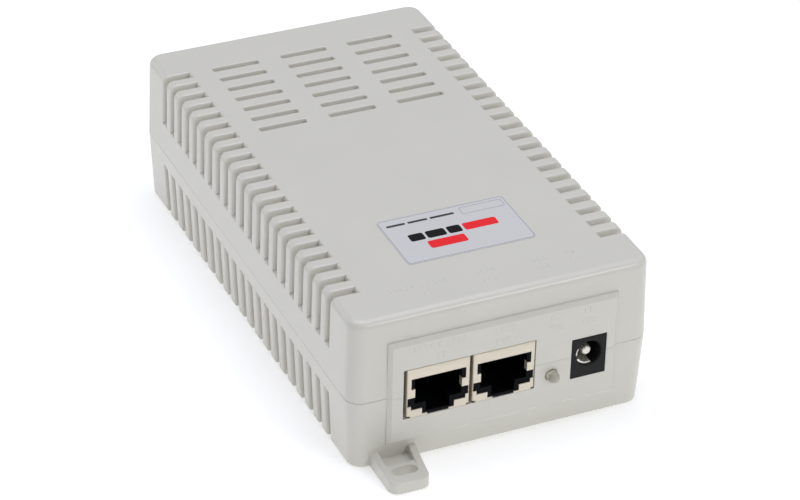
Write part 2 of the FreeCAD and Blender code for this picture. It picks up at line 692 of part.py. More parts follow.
def bore_sector(r0, r1, centre_deg, half_deg, y0, y1):
    """Part of a tube round the bore's axis."""
    tube = rod_y(DC_X, DC_BORE_Z, y0, y1, r1).cut(rod_y(DC_X, DC_BORE_Z, y0 - 1, y1 + 1, r0))
    reach = 8.0
    a = math.radians(centre_deg)
    h = math.radians(half_deg)
    points = [(DC_X, DC_BORE_Z)]
    for angle in (a - h, a, a + h):
        points.append((DC_X + reach * math.cos(angle), DC_BORE_Z + reach * math.sin(angle)))
    return tube.common(profile_y(points, y0 - 1, y1 + 1))


def dc_centre_pin():
    """Round-nosed centre pin with its rear terminal."""
    y0 = DC_FACE_Y + DC_PIN_DEPTH
    y1 = DC_FACE_Y + DC_D - 0.5
    pin = rod_y(DC_X, DC_BORE_Z, y0, DC_FACE_Y + DC_BORE_D - 0.01, DC_PIN_R)
    pin = pin.makeFillet(DC_NOSE_R, [e for e in pin.Edges if e.BoundBox.YMax < y0 + 0.01])
    tail = rod_y(DC_X, DC_BORE_Z, DC_FACE_Y + DC_BORE_D - 1, y1, DC_TAIL_R)
    blade = centred(DC_X, y1 - 0.1, 2.4, 0.5, BOARD_TOP - BOARD_T - LEAD_BELOW, DC_BORE_Z + 0.9)
    drilled.append((DC_X, y1 - 0.1, 1.3))
    return joined([pin, tail, blade])


def dc_spring():
    """Curved leaf that presses on the plug's sleeve."""
    return bore_sector(DC_BORE_R - DC_LEAF_IN, DC_BORE_R - 0.03, DC_SPRING_DEG, DC_SPRING_HALF_DEG,
                       DC_FACE_Y + 0.6, DC_FACE_Y + DC_BORE_D - 0.6)


def dc_switch_contact():
    """Fixed curved contact let into the wall of the bore."""
    return bore_sector(DC_BORE_R - DC_SWITCH_IN, DC_BORE_R + 0.2, DC_SWITCH_DEG, DC_SWITCH_HALF_DEG,
                       DC_FACE_Y + 0.5, DC_FACE_Y + DC_SWITCH_L)


def dc_terminals():
    """Sleeve terminal under the bore and switch terminal at the side."""
    z0 = BOARD_TOP - BOARD_T - LEAD_BELOW
    sleeve = centred(DC_X, DC_FACE_Y + 10.1, 2.4, 0.5, z0, DC_BORE_Z - DC_BORE_R - 0.9)
    side_x0 = DC_X + DC_W / 2 + 0.05
    side = box(side_x0, side_x0 + 0.5, DC_FACE_Y + 9.5, DC_FACE_Y + 11.9, z0, DC_BORE_Z - 1.5)
    drilled.append((DC_X, DC_FACE_Y + 10.1, 1.3))
    drilled.append((side_x0 + 0.25, DC_FACE_Y + 10.7, 1.3))
    return group([sleeve, side])


# ---------------------------------------------------------------- lamp
def led_lens():
    """Clear 3 mm lens with a domed tip and a flange."""
    tip = LED_TIP_Y
    dome = Part.makeSphere(LED_R, V(LED_X, tip + LED_R, LED_Z))
    body = rod_y(LED_X, LED_Z, tip + LED_R, tip + LED_BODY, LED_R)
    flange = rod_y(LED_X, LED_Z, tip + LED_BODY, tip + LED_BODY + 1.0, 1.9)
    return joined([dome, body, flange])


def led_leads():
    """Two wires from the lens, bent down into the board."""
    y0 = LED_TIP_Y + LED_BODY + 1.02
    wires = []
    for dx in (-1.27, 1.27):
        path = [(LED_X + dx * 0.5, y0 + 0.25, LED_Z), (LED_X + dx * 0.5, y0 + 3.6, LED_Z),
                (LED_X + dx * 0.5, y0 + 3.6, BOARD_TOP - BOARD_T - LEAD_BELOW)]
        wires.append(bent_wire(path, 0.45))
        drilled.append((LED_X + dx * 0.5, y0 + 3.6, 0.42))
    return group(wires)


def led_holder():
    """Black block that carries the lens at the right height."""
    y0 = LED_TIP_Y + LED_BODY + 1.05
    block = box(LED_X - 2.0, LED_X + 2.0, y0, y0 + 4.6, BOARD_TOP + 0.02, LED_Z + 1.9)
    cuts = []
    for dx in (-1.27, 1.27):
        x = LED_X + dx * 0.5
        cuts.append(box(x - 0.3, x + 0.3, y0 - 1, y0 + 4.0, LED_Z - 0.3, LED_Z + 0.3))
        cuts.append(box(x - 0.3, x + 0.3, y0 + 3.25, y0 + 4.0, BOARD_TOP - 1, LED_Z + 0.3))
    return block.cut(cuts)


# ---------------------------------------------------------------- parts on the board
LEAD_T = 0.5

MAGNETICS_AT = ((-17.0, -42.5), (0.0, -42.5))
MAGNETICS = (12.7, 7.1, 5.7)
BRIDGES_AT = ((-12.0, -27.0), (-1.0, -27.0))
BRIDGE = (8.5, 6.4, 3.3)
CHIPS_AT = ((-12.0, -12.5), (4.0, 34.0))
CHIP = (6.2, 3.9, 1.5)
OPTO_AT = (9.5, -9.5)
OPTO = (4.6, 6.4, 3.4)
CHOKE_AT = (-24.0, -18.0)
CHOKE = (7.0, 3.6, 6.5)          # outer radius, hole radius, height
INPUT_CAP_AT = (-22.0, 2.5)
INPUT_CAP = (6.25, 20.0)         # radius, height
OUTPUT_CAPS_AT = ((17.5, -40.0), (28.0, -40.0), (25.5, 4.0))
OUTPUT_CAP = (5.0, 16.0)
INDUCTOR_AT = (22.5, -20.5)
INDUCTOR = (5.5, 11.0)
DISC_AT = (10.5, -21.5)
DISC = (4.6, 3.4)                # radius, thickness
TRANSFORMER_AT = (1.0, 13.0)
CORE_W = 25.0
CORE_L = 25.0
CORE_T = 6.6
CORE_LEG = 3.4
CORE_Z = BOARD_TOP + 4.6
SINKS_AT = ((-19.0, 41.5), (19.0, 41.5))
SINK_W = 19.0
SINK_H = 20.0
SINK_T = 1.6
SINK_FINS = 6
FIN_L = 7.0
TAB_H = 15.4


def lead(x, y, z_top, t=LEAD_T):
    """Straight lead from a part down through the board, and the hole it needs."""
    drilled.append((x, y, t * 0.5 ** 0.5 + 0.12))
    return centred(x, y, t, t, BOARD_TOP - BOARD_T - LEAD_BELOW, z_top)


def package(size, chamfer=0.25):
    """Moulded package standing on the origin, with bevelled top edges."""
    w, l, h = size
    block = centred(0, 0, w, l, 0, h)
    return block.makeChamfer(chamfer, edges_at(block, h))


def gull_lead(y_body, reach, z_body, w):
    """Bent surface-mount lead on the +Y side of a package standing at z = 0."""
    t = 0.2
    shoulder = box(-w / 2, w / 2, y_body, y_body + reach * 0.4, z_body - t, z_body)
    drop = box(-w / 2, w / 2, y_body + reach * 0.4 - t, y_body + reach * 0.4, 0, z_body)
    foot = box(-w / 2, w / 2, y_body + reach * 0.4 - t, y_body + reach, 0, t)
    return joined([shoulder, drop, foot])


def gull_rows(places, size, per_side, pitch, reach, z_body, w):
    """Leads along both long sides of each package."""
    one = gull_lead(size[1] / 2, reach, z_body, w)
    other = turned(one, 180)
    first = -pitch * (per_side - 1) / 2
    leads = []
    for px, py in places:
        for i in range(per_side):
            x = px + first + i * pitch
            leads += [at(one, x, py, BOARD_TOP + 0.01), at(other, x, py, BOARD_TOP + 0.01)]
    return group(leads)


def packages(places, size, lift):
    """One moulded body at each place."""
    return group([at(package(size), x, y, BOARD_TOP + lift) for x, y in places])


def through_rows(places, size, per_side, pitch):
    """Leads that leave a package's long sides and turn down through the board."""
    leads = []
    for px, py in places:
        for side in (-1, 1):
            y = py + side * (size[1] / 2 + 0.35)
            for i in range(per_side):
                x = px + (i - (per_side - 1) / 2) * pitch
                arm_y0 = min(y, py + side * size[1] / 2)
                arm_y1 = max(y, py + side * size[1] / 2)
                arm = box(x - LEAD_T / 2, x + LEAD_T / 2, arm_y0, arm_y1,
                          BOARD_TOP + 1.4, BOARD_TOP + 1.7)
                leads.append(joined([arm, lead(x, y, BOARD_TOP + 1.7)]))
    return group(leads)


def can(x, y, r, h):
    """Electrolytic capacitor: crimped can with a scored top."""
    z0 = BOARD_TOP + 0.3
    body = rod(x, y, z0, z0 + h, r)
    body = body.makeFillet(0.7, edges_at(body, z0 + h) + edges_at(body, z0))
    crimp = Part.makeTorus(r + 0.25, 0.6, V(x, y, z0 + 2.4))
    rim = rod(x, y, z0 + h - 0.3, z0 + h + 1, r - 0.8)
    scores = [centred(x, y, 2 * r - 2.4, 0.35, z0 + h - 0.5, z0 + h),
              centred(x, y, 0.35, 2 * r - 2.4, z0 + h - 0.5, z0 + h)]
    return body.cut([crimp, rim] + scores)


def input_capacitor():
    """Tall capacitor on the supply side."""
    return can(*INPUT_CAP_AT, *INPUT_CAP)


def output_capacitors():
    """Three capacitors on the output side."""
    return group([can(x, y, *OUTPUT_CAP) for x, y in OUTPUT_CAPS_AT])


def capacitor_leads():
    """Two leads under each can."""
    leads = []
    for x, y in (INPUT_CAP_AT,) + OUTPUT_CAPS_AT:
        leads += [lead(x + dx, y, BOARD_TOP + 0.29, 0.6) for dx in (-2.5, 2.5)]
    return group(leads)


def choke_core():
    """Ferrite ring of the common-mode choke, lying flat."""
    r1, r0, h = CHOKE
    x, y = CHOKE_AT
    z0 = BOARD_TOP + 1.2
    ring = rod(x, y, z0, z0 + h, r1).cut(rod(x, y, z0 - 1, z0 + h + 1, r0))
    return ring.makeFillet(0.5, edges_at(ring, z0) + edges_at(ring, z0 + h))


def choke_windings():
    """Two coils, each wound on one half of the ring, with their ends in the board."""
    r1, r0, h = CHOKE
    x, y = CHOKE_AT
    z0 = BOARD_TOP + 1.2
    gap = 0.06
    t = 0.85
    sleeve = rod(x, y, z0 - t, z0 + h + t, r1 + t).cut(rod(x, y, z0 - 5, z0 + h + 5, r0 - t))
    bore = rod(x, y, z0 - gap, z0 + h + gap, r1 + gap).cut(rod(x, y, z0 - 5, z0 + h + 5, r0 - gap))
    coil = sleeve.cut(bore)
    halves = []
    for side in (-1, 1):
        keep = box(min(side * 1.6, side * 12), max(side * 1.6, side * 12), -12, 12, 0, 40)
        half = coil.common(at(keep, x, y))
        ends = [lead(x + side * 3.6, y + dy, z0 - t + 0.1, 0.7) for dy in (-4.6, 4.6)]
        halves.append(joined([half] + ends))
    return group(halves)


def inductor_core():
    """Drum core with two flanges."""
    x, y = INDUCTOR_AT
    r, h = INDUCTOR
    z0 = BOARD_TOP + 0.3
    return joined([rod(x, y, z0, z0 + 1.6, r), rod(x, y, z0 + 1.6, z0 + h - 1.6, r * 0.45),
                   rod(x, y, z0 + h - 1.6, z0 + h, r)])


def inductor_winding():
    """Copper coil round the drum, with two ends through the board."""
    x, y = INDUCTOR_AT
    r, h = INDUCTOR
    z0 = BOARD_TOP + 0.3
    coil = rod(x, y, z0 + 1.65, z0 + h - 1.65, r - 0.5).cut(rod(x, y, 0, 60, r * 0.45 + 0.04))
    ends = []
    for side in (-1, 1):
        end_x = x + side * (r + 0.5)
        arm_x0 = min(end_x, x + side * (r - 0.9))
        arm_x1 = max(end_x, x + side * (r - 0.9))
        ends.append(box(arm_x0, arm_x1, y - 0.3, y + 0.3, z0 + 1.7, z0 + 2.3))
        ends.append(lead(end_x, y, z0 + 2.3, 0.6))
    return joined([coil] + ends)


def disc_capacitor():
    """Safety capacitor: an upright coated disc."""
    x, y = DISC_AT
    r, t = DISC
    z = BOARD_TOP + 1.2 + r
    disc = rod_y(x, z, y - t / 2, y + t / 2, r)
    return disc.makeFillet(1.2, [e for e in disc.Edges if e.Closed and e.BoundBox.YLength < 1e-3])


def disc_leads():
    """Two wires under the disc."""
    x, y = DISC_AT
    return group([lead(x + dx, y, BOARD_TOP + 1.2 + 0.62, 0.6).cut(disc_capacitor()) for dx in (-2.5, 2.5)])


def transformer_core():
    """Two E-shaped ferrite halves that meet inside the bobbin."""
    halves = []
    gap = 0.02
    back = box(-CORE_W / 2, CORE_W / 2, CORE_L / 2 - 3.4, CORE_L / 2, 0, CORE_T)
    back = back.makeFillet(0.5, [e for e in edges_along(back, "z") if e.BoundBox.YMin > CORE_L / 2 - 1])
    outer_l = box(-CORE_W / 2, -CORE_W / 2 + CORE_LEG, gap, CORE_L / 2 - 3.4, 0, CORE_T)
    outer_r = mirrored_x(outer_l)
    centre = box(-3.3, 3.3, gap, CORE_L / 2 - 3.4, 0, CORE_T)
    half = joined([back, outer_l, outer_r, centre])
    for angle in (0, 180):
        halves.append(at(turned(half, angle), *TRANSFORMER_AT, CORE_Z))
    return group(halves)


def transformer_bobbin():
    """Plastic former: tube round the centre leg, two flanges and two pin rails."""
    clear = 0.05
    tx, ty = TRANSFORMER_AT
    inner_y = CORE_L / 2 - 3.4 - clear
    side = CORE_W / 2 - CORE_LEG - clear
    tube = box(-4.2, 4.2, -inner_y, inner_y, CORE_Z - 0.9, CORE_Z + CORE_T + 0.9)
    flanges = [box(-side, side, min(s * inner_y, s * (inner_y - 0.9)), max(s * inner_y, s * (inner_y - 0.9)),
                   CORE_Z - 3.0, CORE_Z + CORE_T + 3.0) for s in (-1, 1)]
    rails = []
    for s in (-1, 1):
        near = s * (inner_y - 0.9)
        far = s * (CORE_L / 2 + 0.6)
        rails.append(box(-CORE_W / 2 + 0.5, CORE_W / 2 - 0.5, min(near, far), max(near, far),
                         BOARD_TOP + 0.6, CORE_Z - clear))
    leg = box(-3.3 - clear, 3.3 + clear, -20, 20, CORE_Z - clear, CORE_Z + CORE_T + clear)
    return at(joined([tube] + flanges + rails).cut(leg), tx, ty)


def transformer_winding():
    """Wound copper under tape, between the flanges."""
    tx, ty = TRANSFORMER_AT
    y = CORE_L / 2 - 3.4 - 0.05 - 0.95
    side = CORE_W / 2 - CORE_LEG - 0.6
    outer = box(-side, side, -y, y, CORE_Z - 2.6, CORE_Z + CORE_T + 2.6)
    outer = outer.makeFillet(1.6, edges_along(outer, "y"))
    inner = box(-4.25, 4.25, -y - 1, y + 1, CORE_Z - 0.95, CORE_Z + CORE_T + 0.95)
    return at(outer.cut(inner), tx, ty)


def transformer_pins():
    """Five pins under each rail."""
    tx, ty = TRANSFORMER_AT
    return group([lead(tx + (i - 2) * 5.0, ty + s * (CORE_L / 2 - 0.9), BOARD_TOP + 0.59, 0.7)
                  for s in (-1, 1) for i in range(5)])


def heat_sinks():
    """Two upright finned plates, each with two solder pegs."""
    sinks = []
    for x, y in SINKS_AT:
        z0 = BOARD_TOP + 0.3
        parts = [box(x - SINK_W / 2, x + SINK_W / 2, y, y + SINK_T, z0, z0 + SINK_H)]
        step = (SINK_W - 1.2) / (SINK_FINS - 1)
        for i in range(SINK_FINS):
            fx = x - SINK_W / 2 + i * step
            parts.append(box(fx, fx + 1.2, y + SINK_T, y + SINK_T + FIN_L, z0, z0 + SINK_H))
        parts += [lead(x + dx, y + SINK_T / 2, z0 + 0.1, 1.2) for dx in (-7.0, 7.0)]
        hole = rod_y(x, z0 + 4.4 + TAB_H - 2.9, y - 1, y + SINK_T + 1, 1.3)
        sinks.append(joined(parts).cut(hole))
    return group(sinks)


def power_device_tabs():
    """Metal tab and three legs of each power device."""
    frames = []
    for x, y in SINKS_AT:
        z0 = BOARD_TOP + 4.7
        tab = box(x - 5.0, x + 5.0, y - 1.32, y - 0.02, z0, z0 + TAB_H)
        hole = rod_y(x, z0 + TAB_H - 2.9, y - 3, y + 1, 1.8)
        legs = []
        for dx in (-2.54, 0, 2.54):
            legs.append(lead(x + dx, y - 2.9, z0 - 0.01, 0.8))
        frames.append(tab.cut(hole))
        frames += legs
    return group(frames)


def power_device_bodies():
    """Moulded body in front of each tab."""
    bodies = []
    for x, y in SINKS_AT:
        z0 = BOARD_TOP + 4.7
        bodies.append(box(x - 5.0, x + 5.0, y - 4.5, y - 1.33, z0, z0 + 9.0))
    return group([b.makeChamfer(0.3, edges_along(b, "x")) for b in bodies])


def heat_sink_screws():
    """Screw that clamps each power device to its plate."""
    screws = []
    for x, y in SINKS_AT:
        z = BOARD_TOP + 4.7 + TAB_H - 2.9
        head = rod_y(x, z, y - 3.4, y - 1.33, 2.7)
        shank = rod_y(x, z, y - 1.4, y + SINK_T - 0.05, 1.28)
        slot = box(x - 3, x + 3, y - 3.5, y - 2.6, z - 0.35, z + 0.35)
        screws.append(joined([head, shank]).cut(slot))
    return group(screws)


def chip_parts(places, size):
    """Small surface-mount blocks, each place given as (x, y, quarter turns)."""
    parts = []
    for x, y, quarter in places:
        w, l, h = size if quarter % 2 == 0 else (size[1], size[0], size[2])
        parts.append(centred(x, y, w, l, BOARD_TOP + 0.01, BOARD_TOP + 0.01 + h))
    return group(parts)


def chip_resistors():
    """Rows of small resistors near the ports, the controller and the feedback circuit."""
    near_ports = [(-24.0 + i * 3.0, -35.0, 1) for i in range(11)]
    controller = [(-19.0 + i * 2.6, -8.0, 1) for i in range(5)]
    feedback = [(14.5, -12.0 + i * 2.6, 0) for i in range(4)]
    driver = [(-3.0 + i * 2.6, 39.0, 1) for i in range(6)]
    return chip_parts(near_ports + controller + feedback + driver, (2.0, 1.25, 0.55))


def chip_capacitors():
    """Ceramic capacitors beside the jacks, the chips and the output."""
    near_ports = [(-22.0 + i * 6.0, -49.0, 0) for i in range(5)]
    controller = [(-6.0, -14.5, 1), (-6.0, -10.5, 1), (10.0, 33.0, 1), (-2.0, 33.5, 1)]
    output = [(12.5 + i * 4.0, -50.5, 1) for i in range(4)]
    return chip_parts(near_ports + controller + output, (3.2, 1.6, 1.2))


def surface_diodes():
    """Surge suppressor and small rectifiers."""
    return chip_parts([(-12.5, -20.0, 0), (-25.5, 17.0, 1), (-25.5, 24.0, 1), (20.0, 17.0, 1)],
                      (4.4, 3.6, 2.3))


def main_board():
    """Circuit board with corner cut-outs for the pillars and a hole for every lead."""
    z0 = BOARD_TOP - BOARD_T
    board = box(-BOARD_X, BOARD_X, BOARD_Y0, BOARD_Y1, z0, BOARD_TOP)
    cuts = []
    for x in (-BOSS_X, BOSS_X):
        for y in (-BOSS_Y, BOSS_Y):
            cuts.append(rod(x, y, z0 - 1, BOARD_TOP + 1, BOSS_R + 0.5))
            out_x = math.copysign(BOARD_X + 1, x)
            out_y = math.copysign(BOARD_Y1 + 5, y)
            reach_x = x - math.copysign(BOSS_R + 0.5, x)
            reach_y = y - math.copysign(BOSS_R + 0.5, y)
            cuts.append(box(min(x, out_x), max(x, out_x), min(reach_y, out_y), max(reach_y, out_y),
                            z0 - 1, BOARD_TOP + 1))
            cuts.append(box(min(reach_x, out_x), max(reach_x, out_x), min(y, out_y), max(y, out_y),
                            z0 - 1, BOARD_TOP + 1))
    for x in (-POST_X, POST_X):
        for y in (-POST_Y, POST_Y):
            cuts.append(rod(x, y, z0 - 1, BOARD_TOP + 1, 1.1))
    cuts += [rod(x, y, z0 - 1, BOARD_TOP + 1, r) for x, y, r in drilled]
    return board.cut(cuts)


# ---------------------------------------------------------------- assembly
def build():
    """Every node by name; the board comes last because it needs the drilled holes."""
    nodes = {
        "top_cover": top_cover(),
        "base_shell": base_shell(),
        "case_screws": case_screws(),
        "board_screws": board_screws(),
        "top_label": top_label(),
        "rating_label": rating_label(),
        "dc_jack_body": dc_body(),
        "dc_jack_centre_pin": dc_centre_pin(),
        "dc_jack_spring": dc_spring(),
        "dc_jack_switch_contact": dc_switch_contact(),
        "dc_jack_terminals": dc_terminals(),
        "status_led_lens": led_lens(),
        "status_led_leads": led_leads(),
        "status_led_holder": led_holder(),
        "lan_magnetics": packages(MAGNETICS_AT, MAGNETICS, 0.15),
        "lan_magnetics_leads": gull_rows(MAGNETICS_AT, MAGNETICS, 8, 1.27, 1.4, 1.6, 0.45),
        "bridge_rectifiers": packages(BRIDGES_AT, BRIDGE, 0.5),
        "bridge_rectifier_leads": through_rows(BRIDGES_AT, BRIDGE, 2, 5.08),
        "control_chips": packages(CHIPS_AT, CHIP, 0.12),
        "control_chip_leads": gull_rows(CHIPS_AT, CHIP, 4, 1.27, 1.0, 0.75, 0.4),
        "optocoupler": packages((OPTO_AT,), OPTO, 0.5),
        "optocoupler_leads": through_rows((OPTO_AT,), OPTO, 2, 2.54),
        "choke_core": choke_core(),
        "choke_windings": choke_windings(),
        "input_capacitor": input_capacitor(),
        "output_capacitors": output_capacitors(),
        "capacitor_leads": capacitor_leads(),
        "inductor_core": inductor_core(),
        "inductor_winding": inductor_winding(),
        "disc_capacitor": disc_capacitor(),
        "disc_capacitor_leads": disc_leads(),
        "transformer_core": transformer_core(),
        "transformer_bobbin": transformer_bobbin(),
        "transformer_winding": transformer_winding(),
        "transformer_pins": transformer_pins(),
        "heat_sinks": heat_sinks(),
        "power_device_tabs": power_device_tabs(),
        "power_device_bodies": power_device_bodies(),
        "heat_sink_screws": heat_sink_screws(),
        "chip_resistors": chip_resistors(),
        "chip_capacitors": chip_capacitors(),
        "surface_diodes": surface_diodes(),
    }
    for label, xc in zip(("data_in", "data_out"), JACK_X):
        nodes[label + "_shield"] = jack_shield(xc)
        nodes[label + "_housing"] = jack_housing(xc)
        nodes[label + "_pins"] = jack_pins(xc)
        nodes[label + "_contacts"] = jack_contacts(xc)
    nodes["main_board"] = main_board()
    return nodes


os.makedirs("parts", exist_ok=True)
for name, shape in build().items():
    shape.exportStep("parts/" + name + ".step")
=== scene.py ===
"""Looks for the power-over-ethernet splitter: materials, marks, details, light and camera.

Everything is in metres, in the frame of the CAD model: X to the right seen from the port end,
the ports face -Y, Z is up, and the origin is the centre of the underside.
"""
import json
import math

import bmesh
import bpy
from mathutils import Matrix, Vector


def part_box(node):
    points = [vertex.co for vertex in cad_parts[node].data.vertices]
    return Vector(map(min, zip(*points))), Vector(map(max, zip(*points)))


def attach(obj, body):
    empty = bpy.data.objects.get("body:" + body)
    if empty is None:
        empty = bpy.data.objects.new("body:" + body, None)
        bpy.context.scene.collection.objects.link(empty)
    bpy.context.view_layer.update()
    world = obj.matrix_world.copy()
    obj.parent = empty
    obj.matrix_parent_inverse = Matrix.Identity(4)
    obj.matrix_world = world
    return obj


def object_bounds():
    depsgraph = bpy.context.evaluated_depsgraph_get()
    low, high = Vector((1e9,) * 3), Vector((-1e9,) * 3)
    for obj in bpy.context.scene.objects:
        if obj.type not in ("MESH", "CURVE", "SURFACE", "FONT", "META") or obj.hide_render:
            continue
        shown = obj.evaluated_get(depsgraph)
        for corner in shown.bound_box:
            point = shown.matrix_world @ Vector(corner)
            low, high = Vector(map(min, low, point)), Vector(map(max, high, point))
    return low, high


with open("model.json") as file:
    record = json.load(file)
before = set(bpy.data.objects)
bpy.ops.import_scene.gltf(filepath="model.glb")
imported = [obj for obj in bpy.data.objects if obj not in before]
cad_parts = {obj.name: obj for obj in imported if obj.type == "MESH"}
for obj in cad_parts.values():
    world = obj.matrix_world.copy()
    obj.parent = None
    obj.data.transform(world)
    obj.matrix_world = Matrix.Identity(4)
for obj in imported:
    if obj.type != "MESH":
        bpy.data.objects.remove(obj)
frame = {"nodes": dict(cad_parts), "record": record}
CAD_BOX = [list(corner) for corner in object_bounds()]
ROOT = "case_and_board"
MM = 0.001


# ---------------------------------------------------------------- materials
NOISE_LOW, NOISE_HIGH = 0.3, 0.7     # nearly all of a noise texture's values lie between these


def new_material(name):
    """New material with its node tree and its shader node."""
    mat = bpy.data.materials.new(name)
    mat.use_nodes = True
    tree = mat.node_tree
    return mat, tree, tree.nodes["Principled BSDF"]


def noise(tree, scale, detail=3.0, stretch=(1, 1, 1)):
    """Noise in object coordinates; scale is in cells per metre."""
    coords = tree.nodes.new("ShaderNodeTexCoord")
    mapping = tree.nodes.new("ShaderNodeMapping")
    mapping.inputs["Scale"].default_value = stretch
    node = tree.nodes.new("ShaderNodeTexNoise")
    node.inputs["Scale"].default_value = scale
    node.inputs["Detail"].default_value = detail
    tree.links.new(coords.outputs["Object"], mapping.inputs["Vector"])
    tree.links.new(mapping.outputs["Vector"], node.inputs["Vector"])
    return node.outputs["Fac"]


def remap(tree, value, low, high):
    """Noise value spread over the range from low to high."""
    node = tree.nodes.new("ShaderNodeMapRange")
    node.inputs["From Min"].default_value = NOISE_LOW
    node.inputs["From Max"].default_value = NOISE_HIGH
    node.inputs["To Min"].default_value = low
    node.inputs["To Max"].default_value = high
    tree.links.new(value, node.inputs["Value"])
    return node.outputs["Result"]


def between(tree, fac, a, b):
    """Colour between a and b, by a noise value."""
    ramp = tree.nodes.new("ShaderNodeValToRGB")
    ramp.color_ramp.elements[0].position = NOISE_LOW
    ramp.color_ramp.elements[0].color = (*a, 1)
    ramp.color_ramp.elements[1].position = NOISE_HIGH
    ramp.color_ramp.elements[1].color = (*b, 1)
    tree.links.new(fac, ramp.inputs["Fac"])
    return ramp.outputs["Color"]


def bump(tree, shader, height, distance, strength):
    """Small relief on the surface; distance in metres."""
    node = tree.nodes.new("ShaderNodeBump")
    node.inputs["Strength"].default_value = strength
    node.inputs["Distance"].default_value = distance
    tree.links.new(height, node.inputs["Height"])
    tree.links.new(node.outputs["Normal"], shader.inputs["Normal"])


def surface(name, colour, vary=0.04, rough=(0.4, 0.5), metallic=0.0, grain=6000, relief=0.00001,
            strength=0.4, blotch=60, stretch=(1, 1, 1), coat=0.0, shine=0.5):
    """Procedural material: blotches of colour, roughness that wanders, fine grain in relief.

    vary is the share by which the colour wanders, rough the range of the roughness, and blotch and
    grain are cells per metre. relief is in metres.
    """
    mat, tree, shader = new_material(name)
    dark = [c * (1 - vary) for c in colour]
    light = [min(1.0, c * (1 + vary)) for c in colour]
    tree.links.new(between(tree, noise(tree, blotch, stretch=stretch), dark, light),
                   shader.inputs["Base Color"])
    tree.links.new(remap(tree, noise(tree, blotch * 7, stretch=stretch), *rough),
                   shader.inputs["Roughness"])
    shader.inputs["Metallic"].default_value = metallic
    shader.inputs["Coat Weight"].default_value = coat
    shader.inputs["Specular IOR Level"].default_value = shine
    bump(tree, shader, noise(tree, grain, 2.0, stretch), relief, strength)
    return mat


# What differs from surface()'s defaults, for each slot of the record and each printed mark
LOOKS = {
    "case_plastic": dict(colour=(0.705, 0.69, 0.63), vary=0.01, rough=(0.25, 0.265),
                         grain=2600, strength=0.12),
    "label_film": dict(colour=(0.685, 0.685, 0.69), vary=0.01, rough=(0.34, 0.4),
                       grain=900, strength=0.1, coat=0.1),
    "rating_film": dict(colour=(0.7, 0.7, 0.7), vary=0.01, rough=(0.4, 0.46),
                        grain=900, strength=0.1),
    "shield_metal": dict(colour=(0.71, 0.65, 0.54), vary=0.03, rough=(0.34, 0.44), metallic=0.6,
                         grain=3000, relief=0.000008, strength=0.25, blotch=150,
                         stretch=(1, 1, 6)),
    "black_plastic": dict(colour=(0.0098, 0.0102, 0.0106), vary=0.08, rough=(0.42, 0.52),
                          grain=4000, strength=0.3, shine=0.18),
    "insert_plastic": dict(colour=(0.003, 0.0034, 0.0042), vary=0.1, rough=(0.35, 0.45),
                           grain=4000, strength=0.3, shine=0.06),
    "contact_gold": dict(colour=(0.86, 0.6, 0.22), vary=0.05, rough=(0.18, 0.28), metallic=1.0,
                         grain=5000, relief=0.000004, strength=0.2, blotch=300),
    "plated_metal": dict(colour=(0.8, 0.77, 0.7), rough=(0.22, 0.32), metallic=0.6,
                         grain=5000, relief=0.000005, strength=0.25, blotch=300),
    "solder_tin": dict(colour=(0.7, 0.7, 0.69), vary=0.06, rough=(0.25, 0.4), metallic=1.0,
                       grain=4000, strength=0.3, blotch=300),
    "package_resin": dict(colour=(0.022, 0.022, 0.024), vary=0.15, rough=(0.5, 0.66),
                          grain=7000, strength=0.5),
    "ferrite": dict(colour=(0.04, 0.04, 0.043), vary=0.2, rough=(0.55, 0.7),
                    grain=5000, relief=0.00002, strength=0.5, blotch=300),
    "copper_wire": dict(colour=(0.5, 0.16, 0.05), vary=0.1, rough=(0.2, 0.3), metallic=0.9,
                        grain=3000, strength=0.3, blotch=200, coat=0.5),
    "tape_yellow": dict(colour=(0.75, 0.5, 0.04), vary=0.05, rough=(0.25, 0.35),
                        grain=600, relief=0.00003, strength=0.3),
    "cap_sleeve": dict(colour=(0.012, 0.018, 0.07), vary=0.1, rough=(0.22, 0.3),
                       grain=900, relief=0.00002, strength=0.2, coat=0.3),
    "disc_coating": dict(colour=(0.02, 0.1, 0.42), vary=0.1, rough=(0.2, 0.32),
                         grain=900, relief=0.00003, strength=0.3),
    "chip_ceramic": dict(colour=(0.38, 0.25, 0.14), vary=0.1, grain=5000),
    "chip_resistor": dict(colour=(0.02, 0.02, 0.022), vary=0.15, rough=(0.3, 0.4), grain=5000),
    "sink_aluminium": dict(colour=(0.72, 0.73, 0.74), vary=0.05, rough=(0.3, 0.42), metallic=1.0,
                           grain=2500, strength=0.3, blotch=100, stretch=(1, 1, 0.1)),
    "screw_zinc": dict(colour=(0.62, 0.62, 0.58), vary=0.08, rough=(0.25, 0.4), metallic=1.0,
                       grain=4000, strength=0.3, blotch=400),
    "board_laminate": dict(colour=(0.015, 0.13, 0.045), vary=0.12, rough=(0.2, 0.3),
                           grain=1500, relief=0.00002, strength=0.2, coat=0.4),
    "print_dark": dict(colour=(0.012, 0.012, 0.013), vary=0.05, shine=0.1),
    "print_text": dict(colour=(0.07, 0.072, 0.08), vary=0.05, shine=0.1),
    "print_red": dict(colour=(0.95, 0.03, 0.04), vary=0.05, shine=0.1),
    "print_pale": dict(colour=(0.78, 0.78, 0.76), vary=0.03, rough=(0.45, 0.55)),
    "print_grey": dict(colour=(0.4, 0.405, 0.43), vary=0.03),
}


